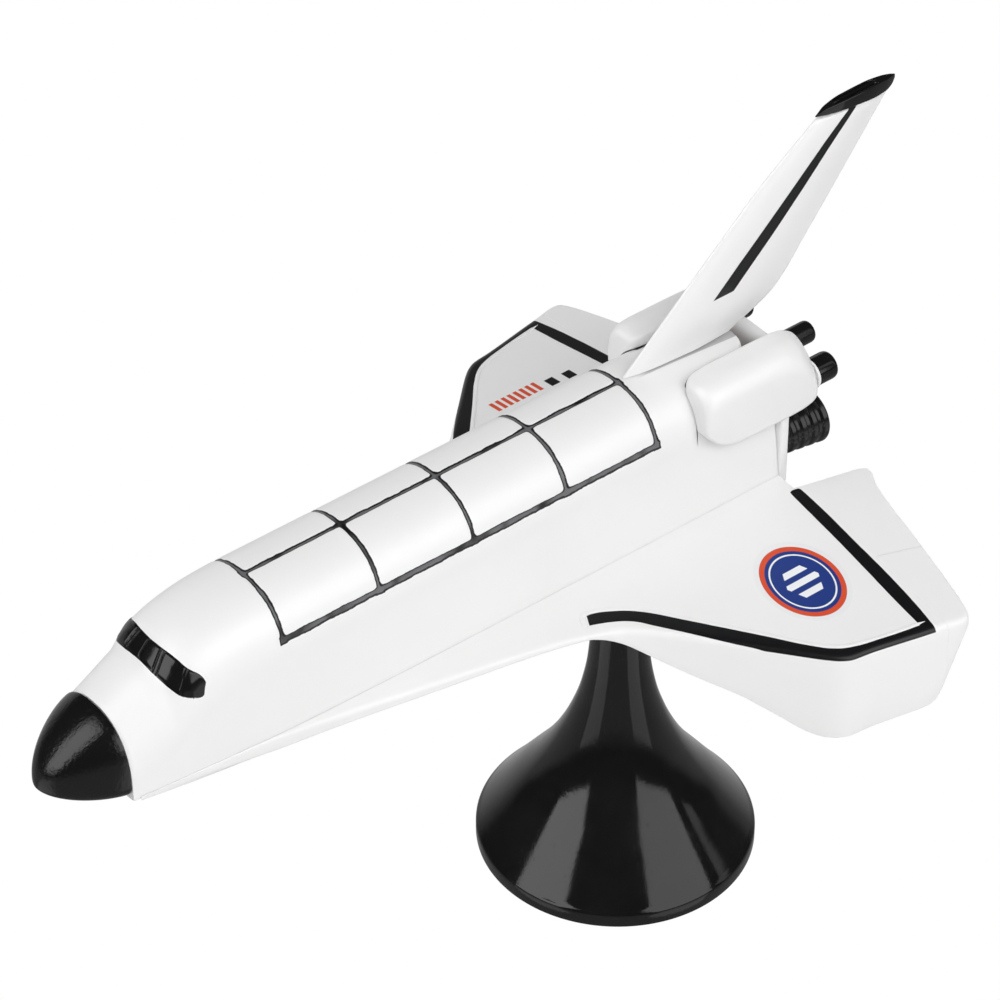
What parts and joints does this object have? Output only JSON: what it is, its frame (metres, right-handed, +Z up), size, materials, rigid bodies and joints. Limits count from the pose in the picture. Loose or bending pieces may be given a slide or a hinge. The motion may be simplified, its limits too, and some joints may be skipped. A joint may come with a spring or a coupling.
{
  "type": "toy space shuttle on a display stand",
  "caption": "Toy winged spacecraft with a cargo bay, swept tail fin and rear engine nozzles, held level above a flared round display stand.",
  "frame": {"origin": "on the table at the middle of the toy's length and width, under the middle of its bounding box", "axes": "+Z up, -Y towards the nose, +Y towards the engines, +X towards the shuttle's left (port) wing"},
  "size_m": [0.1408, 0.23, 0.1815],
  "materials": {
    "white_plastic": "glossy white moulded plastic",
    "black_plastic": "glossy black moulded plastic"
  },
  "bodies": {
    "root": {"upper_hull": "white_plastic", "belly_pan": "white_plastic", "wing_left": "white_plastic", "wing_right": "white_plastic", "nose_cap": "black_plastic", "window_band": "black_plastic", "pod_left": "white_plastic", "pod_right": "white_plastic", "nozzle_collar_left": "white_plastic", "nozzle_collar_right": "white_plastic", "pod_nozzle_left": "black_plastic", "pod_nozzle_right": "black_plastic", "rear_plate": "white_plastic", "main_engine_left": "black_plastic", "main_engine_right": "black_plastic", "main_engine_top": "black_plastic", "tail_fin": "white_plastic", "fin_cap": "black_plastic", "display_stand": "black_plastic"}
  },
  "joints": []
}
